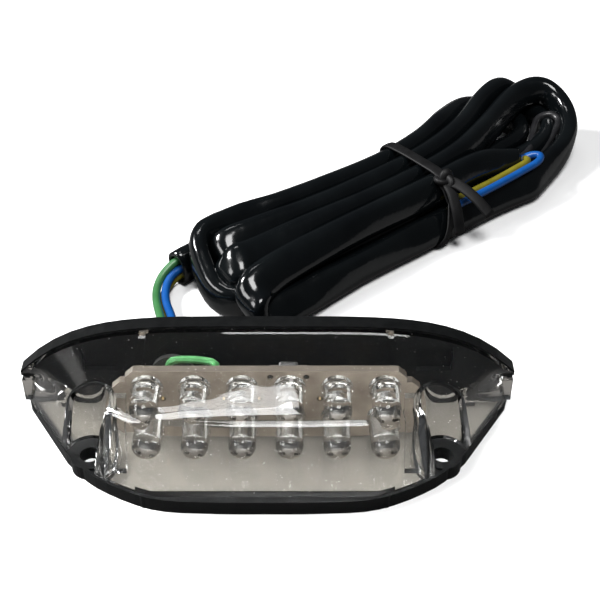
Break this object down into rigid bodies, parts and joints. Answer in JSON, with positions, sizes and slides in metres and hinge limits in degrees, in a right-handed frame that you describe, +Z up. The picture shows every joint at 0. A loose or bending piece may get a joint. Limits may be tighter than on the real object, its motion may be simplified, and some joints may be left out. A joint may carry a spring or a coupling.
{
  "type": "tail light",
  "caption": "Clear-lens LED tail light with a boat-shaped front, black rear housing, screw recess at each end and a three-core lead tied in a hank.",
  "frame": {"origin": "on the resting plane, under the middle of the lamp's own bounding box (its lead left out)", "axes": "+X along the lamp's length, +Y towards the black back wall where the lead leaves, +Z up from the face the lamp rests on"},
  "size_m": [0.1259, 0.1394, 0.02],
  "materials": {
    "black_plastic": "satin moulded ABS",
    "clear_plastic": "clear polished polycarbonate",
    "laminate": "tan paper laminate",
    "clear_epoxy": "water-clear epoxy",
    "silver_plate": "silver plated",
    "resistor_lacquer": "lacquered",
    "black_epoxy": "moulded",
    "black_rubber": "matt",
    "green_pvc": "soft sheen",
    "yellow_pvc": "soft sheen",
    "blue_pvc": "soft sheen",
    "black_pvc": "glossy extruded sleeve",
    "tie_pvc": "matt ribbon"
  },
  "bodies": {
    "root": {"rear_housing": "black_plastic", "clear_lens": "clear_plastic", "number_plate_window": "clear_plastic", "circuit_board": "laminate", "diode": "black_epoxy", "cable_grommet": "black_rubber", "cable_hank": "black_pvc", "tie_band": "tie_pvc", "tie_tails": "tie_pvc", "led_1": "clear_epoxy", "led_frame_1": "silver_plate", "led_2": "clear_epoxy", "led_frame_2": "silver_plate", "led_3": "clear_epoxy", "led_frame_3": "silver_plate", "led_4": "clear_epoxy", "led_frame_4": "silver_plate", "led_5": "clear_epoxy", "led_frame_5": "silver_plate", "led_6": "clear_epoxy", "led_frame_6": "silver_plate", "led_7": "clear_epoxy", "led_frame_7": "silver_plate", "led_8": "clear_epoxy", "led_frame_8": "silver_plate", "led_9": "clear_epoxy", "led_frame_9": "silver_plate", "led_10": "clear_epoxy", "led_frame_10": "silver_plate", "led_11": "clear_epoxy", "led_frame_11": "silver_plate", "led_12": "clear_epoxy", "led_frame_12": "silver_plate", "resistor_1": "resistor_lacquer", "resistor_2": "resistor_lacquer", "resistor_3": "resistor_lacquer", "resistor_4": "resistor_lacquer", "inner_wire_green": "green_pvc", "lead_wire_green": "green_pvc", "inner_wire_yellow": "yellow_pvc", "lead_wire_yellow": "yellow_pvc", "inner_wire_blue": "blue_pvc", "lead_wire_blue": "blue_pvc"}
  },
  "joints": []
}
